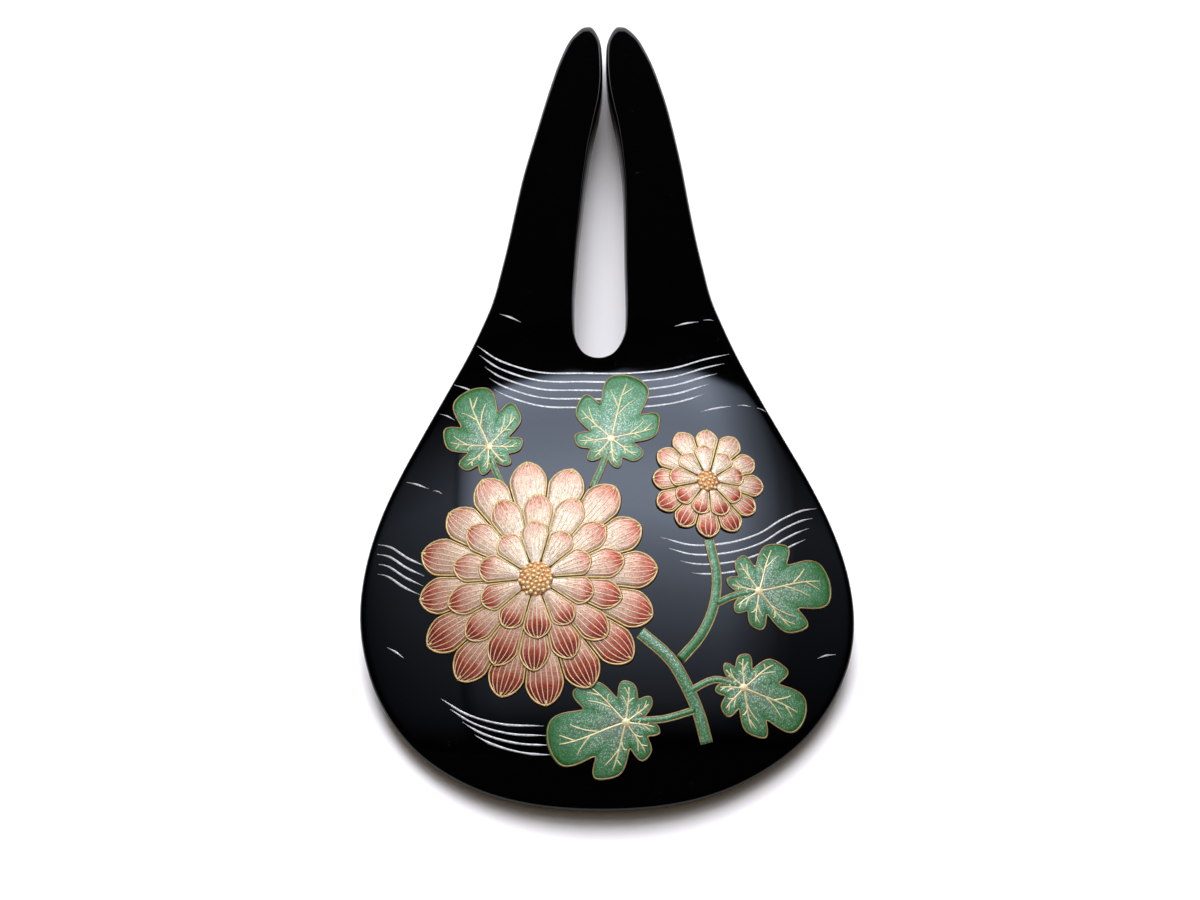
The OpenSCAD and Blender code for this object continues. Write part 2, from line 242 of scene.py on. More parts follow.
# The rings of the solid's mesh give how far the pin is moved to be set down on the surface
cad_rings = all_rings(CAD_STEPS)
SET_DOWN = np.array([0, -(cad_rings[..., 1].min() + TIP_Y) / 2, -cad_rings[..., 2].min()])


def on_top(plan, up):
    """Points above places on the lacquer's upper face, where the pin lies."""
    x, y = np.moveaxis(np.asarray(plan, float), -1, 0)
    return SET_DOWN + off_middle(x, y, half_thickness(x, y) + np.asarray(up, float))


def scene_object(name, data):
    """A new object of that data, in the scene."""
    piece = bpy.data.objects.new(name, data)
    bpy.context.scene.collection.objects.link(piece)
    return piece


def mesh_object(name, points, faces, material):
    """A mesh object from points in millimetres."""
    mesh = bpy.data.meshes.new(name)
    mesh.from_pydata((np.asarray(points) * MM).tolist(), [], [list(map(int, f)) for f in faces])
    mesh.validate()
    mesh.materials.append(material)
    return scene_object(name, mesh)


def tube(start, rings, size):
    """Faces between neighbouring closed rings of points."""
    faces = []
    for i in range(start, start + (rings - 1) * size, size):
        for k in range(size):
            a, b = i + k, i + (k + 1) % size
            faces.append((a, b, b + size, a + size))
    return faces


def add_mesh(name, points, faces, material, slot, **values):
    """A smooth piece with named point values, that rides on the pin."""
    piece = mesh_object(name, points, faces, material)
    mesh = piece.data
    for key, value in values.items():
        layer = mesh.attributes.new(key, "FLOAT", "POINT")
        layer.data.foreach_set("value", np.asarray(value, np.float32))
    mesh.polygons.foreach_set("use_smooth", [True] * len(mesh.polygons))
    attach(piece, "root")
    return piece


class Heap:
    """Points, faces and point values of many small things that become one mesh."""

    def __init__(self):
        self.points, self.faces, self.values, self.count = [], [], {}, 0

    def add(self, points, faces, **values):
        points = np.asarray(points, float).reshape(-1, 3)
        self.points.append(points)
        self.faces += [[i + self.count for i in f] for f in faces]
        for key, value in values.items():
            self.values.setdefault(key, []).append(np.broadcast_to(value, len(points)).astype(float))
        self.count += len(points)

    def piece(self, name, material, slot):
        values = {key: np.concatenate(rows) for key, rows in self.values.items()}
        return add_mesh(name, np.concatenate(self.points), self.faces, material, slot, **values)


def body_mesh(material):
    """The pin itself, with a finer mesh than its solid's, for a mirror gloss."""
    rings = all_rings(FINE_STEPS)
    count, size = rings.shape[:2]
    tips = []
    for hand in (1, -1):
        row = rib_at(0, hand)
        tips.append(off_middle(hand * (row[0] + row[2]) / 2, TIP_Y, 0.0))
    points = np.concatenate([rings.reshape(-1, 3), tips]) + SET_DOWN
    faces = tube(0, count, size)
    last = (count - 1) * size
    for k in range(size):
        after = (k + 1) % size
        faces.append((count * size, after, k))
        faces.append((count * size + 1, last + k, last + after))
    piece = add_mesh("lacquer_body", points, faces, material, "black_lacquer")
    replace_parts(piece, "body")


# Step of a route's curve, as a part of the way from one of its points to the next
ROUTE_STEP = 0.05


def smooth_route(route, step):
    """Points every step along a smooth curve through the route's points."""
    route = np.array(route, float)
    ends = np.concatenate([[2 * route[0] - route[1]], route, [2 * route[-1] - route[-2]]])
    fine = [curve(*ends[i:i + 4], t)
            for i in range(len(route) - 1) for t in np.arange(0, 1, ROUTE_STEP)]
    fine = np.array(fine + [route[-1]])
    run = np.concatenate([[0], np.cumsum(np.hypot(*np.diff(fine, axis=0).T))])
    count = max(2, int(round(run[-1] / step)) + 1)
    at = np.linspace(0, run[-1], count)
    return np.stack([np.interp(at, run, fine[:, k]) for k in (0, 1)], -1)


# Section of a raised line, from one foot over its back to the other: across and up
LINE_SECTION = np.array([(-1, -0.35), (-0.72, 0.55), (0, 1), (0.72, 0.55), (1, -0.35)])


def line(heap, plan, up, half_w, height):
    """Adds a raised line along points in plan. up, half_w and height may vary along it."""
    plan = np.asarray(plan, float)
    n = len(plan)
    up, half_w, height = (np.broadcast_to(np.asarray(v, float), n) for v in (up, half_w, height))
    centre = on_top(plan, up)
    normal = middle_and_normal(plan[:, 0], plan[:, 1])[1]
    side = np.cross(normal, np.gradient(centre, axis=0))
    side /= np.linalg.norm(side, axis=1)[:, None] + TINY
    rows = [centre + side * (half_w * s)[:, None] + normal * (height * h)[:, None]
            for s, h in LINE_SECTION]
    k = len(LINE_SECTION)
    ends = [range(k - 1, -1, -1), range((n - 1) * k, n * k)]
    heap.add(np.stack(rows, 1), tube(0, n, k) + ends)


def slab(heap, plan, up, foot, bottom, along, tone):
    """Adds a closed solid from a grid of places, with its upper face at up, down to its foot."""
    points = np.concatenate([on_top(plan, up).reshape(-1, 3), on_top(foot, bottom).reshape(-1, 3)])
    rows, columns = plan.shape[:2]
    low = rows * columns
    grid = np.arange(low).reshape(rows, columns)
    faces = []
    for a in grid[:-1, :-1].ravel():
        quad = (a, a + 1, a + columns + 1, a + columns)
        faces += [quad[::-1], [low + q for q in quad]]
    border = [*grid[0, :-1], *grid[:-1, -1], *grid[-1, :0:-1], *grid[:0:-1, 0]]
    faces += [(a, b, low + b, low + a) for a, b in zip(border, border[1:] + border[:1])]
    # The foot's points are marked: the skirt down to them gets painted shade, a dark band under the upper
    # face's edge
    along, seam = np.tile(along.ravel(), 2), np.repeat([0, 1], low)
    heap.add(points, faces, along=along, tone=tone, seam=seam)


def dome(heap, at, radius, height, up, rings, sides, **values):
    """Adds a closed dome that stands square to the lacquer."""
    points = []
    for i in range(rings + 1):
        turn = math.radians(90 * i / rings)
        r, h = radius * math.sin(turn), height * math.cos(turn)
        count = 1 if i == 0 else sides
        for k in range(count):
            angle = 2 * math.pi * k / sides
            points.append(on_top((at[0] + r * math.cos(angle), at[1] + r * math.sin(angle)), up + h))
    faces = [(0, 1 + k, 1 + (k + 1) % sides) for k in range(sides)]
    faces += [(a, d, c, b) for a, b, c, d in tube(1, rings, sides)]
    faces.append(range(rings * sides, (rings - 1) * sides, -1))
    heap.add(points, faces, **values)


def layer_z(layer):
    """Height of a layer's lower face above the lacquer."""
    return LAYER_GAP + layer * (LAYER_T + LAYER_GAP)


# Height of the lowest foot above the lacquer, and how far a foot spreads out into a skirt that is
# coloured with painted shade
FOOT, SHADE_SKIRT = 0.01, 0.09

# Relief of a petal: height at its edge, how much more its middle has, how that swells from root to
# tip and falls off to the sides, how the skirt of painted shade widens to the tip, and the least
# half width
PETAL_EDGE, PETAL_CROWN = 0.12, 0.12
SWELL_START, SWELL_RUN, SWELL_FULLNESS = 0.12, 0.8, 0.7
CROWN_POWER, SHADE_SKIRT_POWER = 2.4, 6
LEAST_HALF_W = 0.02
# How far an upper ring's petals reach below their solids, and how much a petal's tone varies
PETAL_SINK = 0.12
TONE_PLAY = 0.12
# Mesh of a petal: rows up to where it is broadest, rows past that, and columns
PETAL_RISE_ROWS, PETAL_END_ROWS, PETAL_COLUMNS = 8, 9, 8
# Gold outline: where it starts, half width and its parts from root to tip, how far inside the edge
# it lies in half widths, height
OUTLINE_FROM = 0.12
GOLD_LINE, LINE_ROOT, LINE_GROWTH = 0.115, 0.75, 0.35
OUTLINE_INSET, OUTLINE_H = 0.8, 0.1
# Gold wedge at a petal's tip: where it starts, half widths in parts of the line's, height
WEDGE_FROM, WEDGE, WEDGE_H = 0.93, np.array([0.6, 1.3, 1.5, 0.9]), 0.12
# Veins of a petal: how far out the outermost run, where the middle one starts, how much later the
# side ones do and how much that varies, where all end, and their points
VEIN_SIDE = 0.72
VEIN_START, VEIN_LATER, VEIN_PLAY = 0.2, 0.25, 0.06
VEIN_END, VEIN_POINTS = 0.975, 12
# Their sway: how far, how fast along the petal, and how much one petal's is ahead of another's
SWAY, SWAY_RATE, SWAY_AHEAD = 0.05, 6, 5
# Their half width, how it grows in from its least part and tapers to the tip, height and sinking
PETAL_VEIN, VEIN_GROW, VEIN_LEAST, VEIN_TAPER = 0.09, 0.2, 0.3, 0.45
VEIN_H, VEIN_SINK = 0.07, 0.01


class Petal:
    """One petal: its place in plan and the height of its upper face."""

    def __init__(self, at, angle, r0, r1, count, layer, tone):
        self.at = np.array(at, float)
        self.cos, self.sin = math.cos(math.radians(angle)), math.sin(math.radians(angle))
        self.r0, self.r1, self.layer, self.tone = r0, r1, layer, tone
        self.share = math.tan(math.radians(180 / count))
        self.broad = (r0 + PETAL_BELLY * (r1 - r0)) * self.share

    def half_width(self, v):
        swell = PETAL_ROOT + (1 - PETAL_ROOT) * np.sin(np.radians(90 * np.minimum(v / PETAL_BELLY, 1)))
        past = np.clip((v - PETAL_BELLY) / (1 - PETAL_BELLY), 0, 1)
        full = self.broad * swell * (1 - past ** 2) ** PETAL_FULLNESS
        room = (self.r0 + v * (self.r1 - self.r0)) * self.share - PETAL_GAP / 2
        return np.maximum(np.minimum(full, room), LEAST_HALF_W)

    def plan(self, v, s, spread=0.0):
        """Plan of the point at v, from root 0 to tip 1, and s, from side -1 to side 1."""
        r = self.r0 + v * (self.r1 - self.r0) + spread * v ** SHADE_SKIRT_POWER
        w = s * (self.half_width(v) + spread)
        return self.at + np.stack([r * self.cos - w * self.sin, r * self.sin + w * self.cos], -1)

    def up(self, v, s):
        swell = np.sin(np.pi * np.clip(SWELL_START + SWELL_RUN * v, 0, 1)) ** SWELL_FULLNESS
        crown = PETAL_CROWN * swell * (1 - np.abs(s) ** CROWN_POWER)
        return layer_z(self.layer) + PETAL_EDGE + crown

    def rows(self):
        rise = np.linspace(0, PETAL_BELLY, PETAL_RISE_ROWS + 1)[:-1]
        turn = np.radians(np.linspace(0, 90, PETAL_END_ROWS + 1))
        return np.concatenate([rise, PETAL_BELLY + (1 - PETAL_BELLY) * np.sin(turn)])

    def relief(self, heap, bottom):
        """The petal itself, down to the height of its foot."""
        v, s = np.meshgrid(self.rows(), np.linspace(-1, 1, PETAL_COLUMNS + 1), indexing="ij")
        foot = self.plan(v, s, SHADE_SKIRT)
        slab(heap, self.plan(v, s), self.up(v, s), foot, bottom, v, self.tone)

    def outline(self, heap):
        """A gold line up each side of the petal."""
        v = np.concatenate([[OUTLINE_FROM], [x for x in self.rows() if x > OUTLINE_FROM]])
        for side in (-1, 1):
            s = np.full(len(v), float(side))
            half_w = GOLD_LINE * (LINE_ROOT + LINE_GROWTH * v)
            line(heap, self.plan(v, s, -OUTLINE_INSET * half_w), self.up(v, s), half_w, OUTLINE_H)

    def tip(self, heap):
        """The small gold wedge where a petal's lines meet."""
        v = np.linspace(WEDGE_FROM, 1.0, len(WEDGE))
        s = np.zeros(len(WEDGE))
        line(heap, self.plan(v, s), self.up(v, s), GOLD_LINE * WEDGE, WEDGE_H)

    def veins(self, heap, rng, number):
        """Gold veins that leave the tip and fade out towards the root."""
        for k in range(number):
            s = -VEIN_SIDE + 2 * VEIN_SIDE * k / (number - 1)
            start = VEIN_START + VEIN_LATER * abs(s) + rng.uniform(-VEIN_PLAY, VEIN_PLAY)
            v = np.linspace(start, VEIN_END, VEIN_POINTS)
            sway = s * (1 + SWAY * np.sin(SWAY_RATE * v + SWAY_AHEAD * self.tone))
            grown = np.clip((v - start) / VEIN_GROW, VEIN_LEAST, 1)
            half_w = PETAL_VEIN * grown * (1 - VEIN_TAPER * v ** 3)
            line(heap, self.plan(v, sway), self.up(v, sway) - VEIN_SINK, half_w, VEIN_H)


def petals_of(at, radius, ring, layer, rng):
    """The petals of a ring. Those towards the blade's end get painted shade: a higher tone, redder and
    darker.
    """
    inner, outer, count, first = ring
    petals = []
    for k in range(count):
        angle = first + 360 * k / count
        reach = inner + (outer - inner) * PETAL_LENGTHS[k % len(PETAL_LENGTHS)]
        # Tone: painted shade that grows towards the blade's end, and a random play
        tone = 0.5 - 0.5 * math.sin(math.radians(angle)) + rng.uniform(-TONE_PLAY, TONE_PLAY)
        petals.append(Petal(at, angle, radius * inner, radius * reach, count, layer, tone))
    return petals


def flower(name, shape, material, gold, cream, rng):
    """The rings of petals of one flower, their gold outlines and their cream veins."""
    lines, veins = Heap(), Heap()
    for i, (ring_name, ring) in enumerate(shape["rings"].items()):
        petals = petals_of(shape["at"], shape["radius"], ring, i + 1, rng)
        heap = Heap()
        bottom = FOOT if i == 0 else layer_z(i + 1) - PETAL_SINK
        for petal in petals:
            petal.relief(heap, bottom)
            petal.outline(lines)
            petal.tip(lines)
            petal.veins(veins, rng, shape["vein_counts"][i])
        node = name + "_petals_" + ring_name
        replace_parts(heap.piece(node + "_relief", material, "pink_petal"), node)
    lines.piece(name + "_gold_lines", gold, "gold")
    veins.piece(name + "_veins", cream, "gold")


# Head of seeds: the ground's height as a part of the head's, how far ground and seeds reach below
# their layer, how far out the last and the first seed lie, their sizes and height as parts
GROUND_PART = 0.8
GROUND_SINK, SEED_SINK = 0.1, 0.13
SEED_REACH, FIRST_SEED = 0.97, 0.4
SEED_SIZES, SEED_H = (0.85, 1.15), 0.95
# Turn from one seed to the next, in half circles, and the rings and sides of each dome
GOLDEN_TURN = 3 - math.sqrt(5)
GROUND_MESH, SEED_MESH = (8, 36), (4, 9)


def flower_centre(name, shape, ground, gold, rng):
    """A low dome under a head of round gold seeds."""
    at, height, count = shape["at"], shape["rise"], shape["seeds"]
    radius = shape["radius"] * shape["centre"]
    base = layer_z(len(shape["rings"]) + 1)
    node = name + "_centre"
    heap = Heap()
    dome(heap, at, radius, height * GROUND_PART, base - GROUND_SINK, *GROUND_MESH)
    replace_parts(heap.piece(node + "_ground", ground, "gold"), node)
    beads = Heap()
    for k in range(count):
        r = radius * SEED_REACH * math.sqrt((k + FIRST_SEED) / count)
        angle = k * math.pi * GOLDEN_TURN
        size = shape["seed_r"] * rng.uniform(*SEED_SIZES)
        rise = height * GROUND_PART * math.sqrt(max(0, 1 - (r / radius) ** 2))
        spot = (at[0] + r * math.cos(angle), at[1] + r * math.sin(angle))
        dome(beads, spot, size, size * SEED_H, base - SEED_SINK + rise, *SEED_MESH, tone=rng.random())
    beads.piece(node + "_seeds", gold, "gold")


def leaf_edge(angle):
    """Distance from a leaf's heart to its notched edge, as a part of its reach."""
    turn = math.radians(angle)
    a = (math.cos(turn) / LEAF_HALF_LENGTH) ** 2 + (math.sin(turn) / LEAF_HALF_WIDTH) ** 2
    b = LEAF_AHEAD * math.cos(turn) / LEAF_HALF_LENGTH ** 2
    c = (LEAF_AHEAD / LEAF_HALF_LENGTH) ** 2 - 1
    oval = (b + math.sqrt(b * b - a * c)) / a
    cut = 0
    for direction, depth, width in NOTCHES:
        off = abs((angle - direction + 180) % 360 - 180)
        cut = max(cut, depth * math.exp(-(off / width) ** 2))
    return oval * (1 - cut)


# Mesh of a leaf, its height at the edge, how much more its middle has, and how that falls off
LEAF_SIDES, LEAF_RINGS = 160, 12
LEAF_EDGE, LEAF_CROWN, LEAF_CROWN_POWER = 0.1, 0.1, 2.2
# Directions of a leaf's main veins, one to each lobe, and of their grooves the width in degrees
# and the depth
LEAF_VEINS = (0, 57, -57, 109, -109, 156, -156)
GROOVE_W, GROOVE_DEPTH = 7, 0.07
# Outline of a leaf: its place as a part of the way to the edge, half width and height
LEAF_LINE_AT = 0.985
LEAF_LINE = (0.1, 0.08)
# Main veins: ends as parts of the way to the edge, points, bend in degrees and the parts of it
# that they have, half width at the heart and what it loses on the way, height
MAIN_ENDS, MAIN_POINTS = (0.02, 0.86), 14
MAIN_BEND, BEND_PARTS = 5, (0.5, 1)
MAIN_W, MAIN_TAPER, MAIN_H = 0.17, 0.09, 0.09
# Side veins: where they leave the main one, points, how far the first turns aside in degrees, how
# much less the next one does, the turn's power, how much of the way to a limit they go
FORKS, FORK_POINTS = (0.34, 0.5, 0.66), 7
FORK_TURN, TURN_LOSS, TURN_POWER = 17, 4, 0.8
FORK_LIMIT, FORK_PART = 0.94, 0.62
FORK_W, FORK_TAPER, FORK_H = 0.12, 0.05, 0.07
# The small dome where the veins meet: radius, height, sinking, and rings and sides
HEART_R, HEART_H, HEART_SINK, HEART_MESH = 0.55, 0.14, 0.02, (4, 18)


class Leaf:
    """One leaf: its place in plan and the height of its upper face."""

    def __init__(self, heart, angle, size, tone):
        self.heart, self.angle, self.size, self.tone = np.array(heart, float), angle, size, tone

    def plan(self, angle, part):
        """Plan of the point at a direction from the tip's and a part of the way to the edge."""
        angle, part = alike(angle, part)
        reach = np.vectorize(leaf_edge)(angle) * LEAF_REACH * self.size * part
        turn = np.radians(self.angle + angle)
        return self.heart + np.stack([reach * np.cos(turn), reach * np.sin(turn)], -1)

    def up(self, angle, part):
        """Height of the upper face: a crown, with a shallow groove along each main vein."""
        angle, part = alike(angle, part)
        crown = LEAF_CROWN * (1 - part ** LEAF_CROWN_POWER)
        groove = np.zeros(angle.shape)
        for vein in LEAF_VEINS:
            off = np.abs((angle - vein + 180) % 360 - 180)
            groove = np.maximum(groove, np.exp(-(off / GROOVE_W) ** 2))
        return layer_z(0) + LEAF_EDGE + crown - GROOVE_DEPTH * groove * np.sin(np.pi * part)

    def relief(self, name, material):
        """The leaf itself, as a closed solid that replaces the node of that name."""
        n = LEAF_SIDES
        angles = np.arange(n) * 360 / n
        parts = np.arange(1, LEAF_RINGS + 1) / LEAF_RINGS
        part, angle = np.meshgrid(parts, angles, indexing="ij")
        top = on_top(self.plan(angle, part), self.up(angle, part)).reshape(-1, 3)
        low = on_top(self.plan(angles, 1 + SHADE_SKIRT / LEAF_REACH), FOOT)
        heart_top, heart_low = on_top(self.heart, self.up(0.0, 0.0)), on_top(self.heart, FOOT)
        points = np.concatenate([[heart_top], top, low, [heart_low]])
        end = len(points) - 1
        faces = [(a, d, c, b) for a, b, c, d in tube(1, LEAF_RINGS + 1, n)]
        for k in range(n):
            after = (k + 1) % n
            faces += [(0, 1 + k, 1 + after), (end, end - n + after, end - n + k)]
        along = np.concatenate([[0], part.ravel(), np.ones(n), [0]])
        # The lower ring is marked: the skirt down to it gets painted shade under the leaf's edge
        seam = np.concatenate([np.zeros(1 + part.size), np.ones(n + 1)])
        piece = add_mesh(name + "_relief", points, faces, material, "green_leaf", along=along,
                         tone=np.full(len(points), self.tone), seam=seam)
        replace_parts(piece, name)

    def outline(self, heap):
        angles = np.arange(LEAF_SIDES + 1) * 360 / LEAF_SIDES + 180
        line(heap, self.plan(angles, LEAF_LINE_AT), self.up(angles, 1.0), *LEAF_LINE)

    def veins(self, heap, rng):
        """A main vein to each lobe, with side veins by turns on either hand."""
        run = np.linspace(0, 1, FORK_POINTS)
        for vein in LEAF_VEINS:
            part = np.linspace(*MAIN_ENDS, MAIN_POINTS)
            bend = MAIN_BEND * math.copysign(1, vein or 1) * np.sin(np.pi * part)
            direction = vein + bend * rng.uniform(*BEND_PARTS)
            half_w = MAIN_W - MAIN_TAPER * part
            line(heap, self.plan(direction, part), self.up(direction, part), half_w, MAIN_H)
            first_side = -1 if vein == 0 else 1
            for i, start in enumerate(FORKS):
                side = first_side * (-1) ** i
                k = int(np.argmin(abs(part - start)))
                spread = FORK_TURN - TURN_LOSS * i
                parts = part[k] + run * (FORK_LIMIT - part[k]) * FORK_PART
                turn = direction[k] + side * spread * run ** TURN_POWER
                half_w = FORK_W - FORK_TAPER * run
                line(heap, self.plan(turn, parts), self.up(turn, parts), half_w, FORK_H)

    def heart_dome(self, heap):
        up = float(self.up(0.0, 0.0)) - HEART_SINK
        dome(heap, self.heart, HEART_R, HEART_H, up, *HEART_MESH)


def leaves(material, gold, pale, rng):
    """The leaves, with their outlines in gold and their veins in pale gold."""
    lines, edges = Heap(), Heap()
    for name, (heart, angle, size) in LEAVES.items():
        leaf = Leaf(heart, angle, size, rng.random())
        leaf.relief(name, material)
        leaf.outline(edges)
        leaf.veins(lines, rng)
        leaf.heart_dome(lines)
    lines.piece("leaf_gold_lines", pale, "gold")
    edges.piece("leaf_edge_lines", gold, "gold")


# Leaf stalks in the leaves' order, each from the leaf's heart to what carries it
STALK_W = 0.8
STALKS = [
    [(-14.6, -19.6), (-14.2, -21.6), (-13.0, -24.4)], [(0.6, -19.2), (-0.2, -22.0), (-1.6, -25.4)],
    [(18.8, -37.7), (16.4, -38.4), (14.0, -39.6)], [(16.7, -49.4), (13.6, -48.9), (10.2, -50.6)],
    [(3.2, -54.1), (7.2, -53.8), (11.2, -52.6)]]
# Relief of stems and stalks: columns, step along the route, height at the edge, how much more the
# middle has, and their places in the leaf's colours, from one end on
STEM_COLUMNS, STEM_STEP = 6, 0.35
STEM_EDGE, STEM_RISE = 0.06, 0.16
STEM_SHADE, STEM_SHADE_RUN = 0.5, 0.4
# Gold line on each side: how far inside the edge it lies, its half width and height
STEM_INSET, STEM_LINE = 0.04, (0.11, 0.1)


def ribbon(heap, gold, route, width, tone):
    """A half-round green stem, with a gold line along each edge."""
    plan = smooth_route(route, STEM_STEP)
    along = np.gradient(plan, axis=0)
    side = np.stack([-along[:, 1], along[:, 0]], -1) / np.hypot(along[:, 0], along[:, 1])[:, None]
    s = np.linspace(-1, 1, STEM_COLUMNS + 1)
    grid = plan[:, None] + side[:, None] * (s * width / 2)[None, :, None]
    up = layer_z(0) + STEM_EDGE + STEM_RISE * (1 - s ** 2)
    shade = STEM_SHADE + STEM_SHADE_RUN * np.repeat(np.linspace(0, 1, len(plan)), len(s))
    slab(heap, grid, up, grid, FOOT, shade, tone)
    for k in (-1, 1):
        line(gold, plan + side * k * (width / 2 - STEM_INSET), up[0], *STEM_LINE)


def stems(material, gold, rng):
    """The two stems that are solids, the leaf stalks, and the gold lines of them all."""
    lines = Heap()
    for name, (width, route) in STEMS.items():
        heap = Heap()
        ribbon(heap, lines, route, width, rng.random())
        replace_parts(heap.piece(name + "_relief", material, "green_leaf"), name)
    stalks = Heap()
    for route in STALKS:
        ribbon(stalks, lines, route, STALK_W, rng.random())
    stalks.piece("leaf_stalks", material, "green_leaf")
    lines.piece("stem_gold_lines", gold, "gold")


# Stream: bands of thin lines. Each band has the route of its first line, the number of lines,
# the step from one to the next, and how much shorter each is at its two ends, as parts
STREAMS = [
    ([(-16.7, -3.9), (-13.5, -6.6), (-8.5, -8.7), (-3, -9.1), (3, -9.1), (8.5, -8.2), (13.0, -6.4),
      (16.3, -5.2)], 5, (0.1, -1.25), (0.02, 0.03)),
    ([(27.3, -25.7), (25.2, -26.4), (22.5, -28.0), (19.5, -30.2), (15.5, -31.8), (11, -32.4),
      (7, -31.6)], 4, (0.25, -1.2), (0.04, 0.05)),
    ([(-29.2, -30.2), (-27.4, -30.9), (-25.2, -32.6), (-22.8, -34.0)], 4, (-0.1, -1.25), (0.03, 0.02)),
    ([(-20.5, -50.6), (-17, -52.8), (-12.5, -54.2), (-7.5, -54.6)], 4, (0.9, -1.15), (0.05, 0.04))]
# Single short strokes beside the bands: x and y of the start, x and y of the end
DASHES = [
    (-19.6, -9.4, -16.4, -11.2), (-15.8, -11.5, -14.2, -12.2), (-21.4, -13.4, -19.4, -14.6),
    (9.2, -1.6, 12.4, -0.6), (13.0, -0.3, 14.4, -0.2), (-13.8, 0.8, -11.0, -0.8),
    (12.4, -14.2, 16.4, -13.0), (17.2, -12.8, 19.0, -12.7), (19.8, -12.8, 21.0, -13.2),
    (-25.6, -22.4, -22.6, -23.8), (-22.0, -24.1, -20.8, -24.7), (27.0, -45.0, 29.4, -44.2),
    (-27.6, -43.6, -25.4, -45.2)]
# Step along the lines of a band and along a dash, and how far a dash arches in its middle
STREAM_STEP, DASH_STEP, DASH_ARCH = 0.4, 0.3, 0.12
# A stroke: half width and height, how much the width varies and over how many points, the points
# that its ends thin over, and the least part of its width there
STREAM_LINE, STREAM_H = 0.15, 0.035
BRUSH, BRUSH_POINTS = (0.8, 1.15), 3
END_POINTS, END_PART = 5, 0.25


def stroke(heap, plan, rng):
    """One line of silver, drawn with a brush: its width varies, and it thins at its ends."""
    n = len(plan)
    run = np.linspace(0, 1, n)
    knots = max(2, n // BRUSH_POINTS)
    rough = np.interp(run, np.linspace(0, 1, knots), [rng.uniform(*BRUSH) for _ in range(knots)])
    ends = np.clip(np.minimum(run, 1 - run) * n / END_POINTS, END_PART, 1)
    line(heap, plan, 0.0, STREAM_LINE * rough * ends, STREAM_H)


def streams(silver, rng):
    """The bands of the stream and the dashes beside them."""
    heap = Heap()
    for route, count, step, trim in STREAMS:
        route = np.array(route, float)
        for k in range(count):
            plan = smooth_route(route + np.array(step) * k, STREAM_STEP)
            n = len(plan)
            first, last = int(trim[0] * k * n), n - int(trim[1] * k * n)
            stroke(heap, plan[first:last], rng)
    for x0, y0, x1, y1 in DASHES:
        middle = ((x0 + x1) / 2, (y0 + y1) / 2 + DASH_ARCH)
        stroke(heap, smooth_route([(x0, y0), middle, (x1, y1)], DASH_STEP), rng)
    heap.piece("stream_lines", silver, "silver_line")


# Sockets of a colour mix: its share, its two colours and its result
MIX_SHARE, MIX_A, MIX_B, MIX_RESULT = 0, 6, 7, 2
# A fleck: it fades out between these distances from its middle, in parts of the spacing
FLECK_FADE = (0.15, 0.5)


class Nodes:
    """A node tree under construction."""

    def __init__(self, tree):
        self.tree = tree

    def add(self, kind, inputs=None, **settings):
        node = self.tree.nodes.new("ShaderNode" + kind)
        for key, value in settings.items():
            setattr(node, key, value)
        for key, value in (inputs or {}).items():
            self.join(value, node.inputs[key])
        return node

    def join(self, value, socket):
        if isinstance(value, bpy.types.NodeSocket):
            self.tree.links.new(value, socket)
        else:
            socket.default_value = value

    def mix(self, share, a, b, blend="MIX"):
        node = self.add("Mix", data_type="RGBA", blend_type=blend)
        for value, index in ((share, MIX_SHARE), (a, MIX_A), (b, MIX_B)):
            value = (*value, 1) if isinstance(value, tuple) else value
            self.join(value, node.inputs[index])
        return node.outputs[MIX_RESULT]

    def math(self, operation, a, b=0.0):
        node = self.add("Math", operation=operation)
        self.join(a, node.inputs[0])
        self.join(b, node.inputs[1])
        return node.outputs[0]


